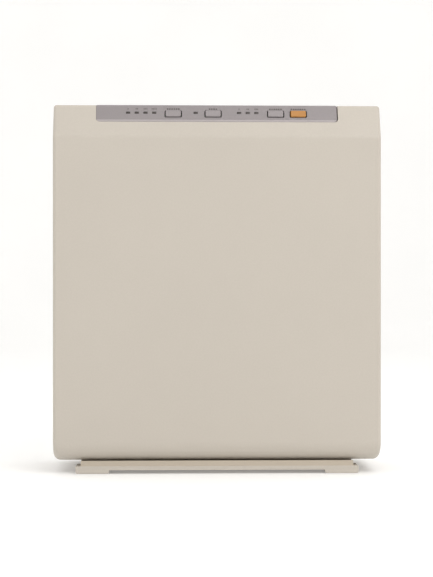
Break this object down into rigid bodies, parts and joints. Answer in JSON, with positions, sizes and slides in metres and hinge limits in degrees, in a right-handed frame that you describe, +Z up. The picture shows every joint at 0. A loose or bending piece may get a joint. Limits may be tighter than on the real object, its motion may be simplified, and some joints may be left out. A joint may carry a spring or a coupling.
{
  "type": "air purifier",
  "caption": "Slim free-standing air purifier with a plain tilting front panel, a control strip with push buttons, side intakes, a top outlet and a low stand.",
  "frame": {"origin": "on the floor, under the middle of the body", "axes": "+Z up, -Y towards the front panel, +X to the right as seen from the front"},
  "size_m": [0.38, 0.15, 0.4283],
  "materials": {
    "cream_plastic": "warm cream moulded ABS with a fine satin texture",
    "grille_plastic": "slightly darker cream moulded plastic",
    "silver_plastic": "warm silver-grey satin paint on plastic",
    "button_plastic": "warm silver-grey satin plastic",
    "orange_plastic": "orange satin plastic",
    "dark_lens": "smoked clear plastic",
    "black_plastic": "black moulded plastic",
    "white_plastic": "off-white moulded plastic",
    "lamp_plastic": "pale diffusing lamp plastic",
    "circuit_board": "green lacquered board",
    "filter_paper": "pleated fibre paper",
    "carbon_filter": "black granular carbon honeycomb",
    "plain_steel": "plain bright steel",
    "pad_rubber": "dark soft rubber"
  },
  "bodies": {
    "casing": {"main_chassis": "cream_plastic", "rear_cover": "cream_plastic", "stand_base": "cream_plastic", "outlet_grille": "grille_plastic", "pre_filter": "grille_plastic", "control_fascia": "silver_plastic", "lens_timer": "dark_lens", "lens_ion": "dark_lens", "lens_speed": "dark_lens", "control_tray": "black_plastic", "inlet_guard": "black_plastic", "motor_mount": "black_plastic", "ioniser_case": "black_plastic", "transformer": "black_plastic", "smoothing_capacitor": "black_plastic", "power_inlet": "black_plastic", "interlock_switch": "black_plastic", "switch_timer": "black_plastic", "switch_ion": "black_plastic", "switch_speed": "black_plastic", "switch_power": "black_plastic", "hepa_frame": "white_plastic", "fan_scroll": "white_plastic", "led_timer_1": "lamp_plastic", "led_timer_2": "lamp_plastic", "led_timer_3": "lamp_plastic", "led_timer_4": "lamp_plastic", "led_ion_1": "lamp_plastic", "led_speed_1": "lamp_plastic", "led_speed_2": "lamp_plastic", "led_speed_3": "lamp_plastic", "control_board": "circuit_board", "power_board": "circuit_board", "hepa_media": "filter_paper", "deodorising_filter": "carbon_filter", "motor_body": "plain_steel", "ioniser_needles": "plain_steel", "inlet_pin_left": "plain_steel", "inlet_pin_right": "plain_steel", "cover_screw_lower_left": "plain_steel", "cover_screw_upper_left": "plain_steel", "cover_screw_lower_right": "plain_steel", "cover_screw_upper_right": "plain_steel", "stand_screw_left": "plain_steel", "stand_screw_right": "plain_steel", "foot_pad_front_left": "pad_rubber", "foot_pad_front_right": "pad_rubber", "foot_pad_rear_left": "pad_rubber", "foot_pad_rear_right": "pad_rubber"},
    "panel": {"front_panel": "cream_plastic", "intake_grille_left": "grille_plastic", "intake_grille_right": "grille_plastic"},
    "fan": {"fan_wheel": "white_plastic", "motor_shaft": "plain_steel", "fan_nut": "plain_steel"},
    "plunger": {"interlock_plunger": "white_plastic"},
    "timer_button": {"button_timer": "button_plastic"},
    "ion_button": {"button_ion": "button_plastic"},
    "speed_button": {"button_speed": "button_plastic"},
    "power_button": {"button_power": "orange_plastic"}
  },
  "joints": [
    {"name": "panel_tilt", "type": "hinge", "parent": "casing", "child": "panel", "pos_m": [0, -0.052, 0.0199], "axis": [1, 0, 0], "range_deg": [0, 18]},
    {"name": "fan_spin", "type": "hinge", "parent": "casing", "child": "fan", "pos_m": [-0.008, 0.01, 0.182], "axis": [0, 1, 0], "continuous": true},
    {"name": "plunger_slide", "type": "slide", "parent": "casing", "child": "plunger", "axis": [0, 1, 0], "range_m": [-0.002, 0]},
    {"name": "timer_press", "type": "slide", "parent": "casing", "child": "timer_button", "axis": [0, 0.9234, -0.3838], "range_m": [0, 0.001], "stiffness_N_per_m": 400, "springref_m": -0.0005},
    {"name": "ion_press", "type": "slide", "parent": "casing", "child": "ion_button", "axis": [0, 0.9234, -0.3838], "range_m": [0, 0.001], "stiffness_N_per_m": 400, "springref_m": -0.0005},
    {"name": "speed_press", "type": "slide", "parent": "casing", "child": "speed_button", "axis": [0, 0.9234, -0.3838], "range_m": [0, 0.001], "stiffness_N_per_m": 400, "springref_m": -0.0005},
    {"name": "power_press", "type": "slide", "parent": "casing", "child": "power_button", "axis": [0, 0.9234, -0.3838], "range_m": [0, 0.001], "stiffness_N_per_m": 400, "springref_m": -0.0005}
  ],
  "couplings": [
    {"joint": "plunger_slide", "follows": "panel_tilt", "m_per_rad": -0.0063}
  ]
}
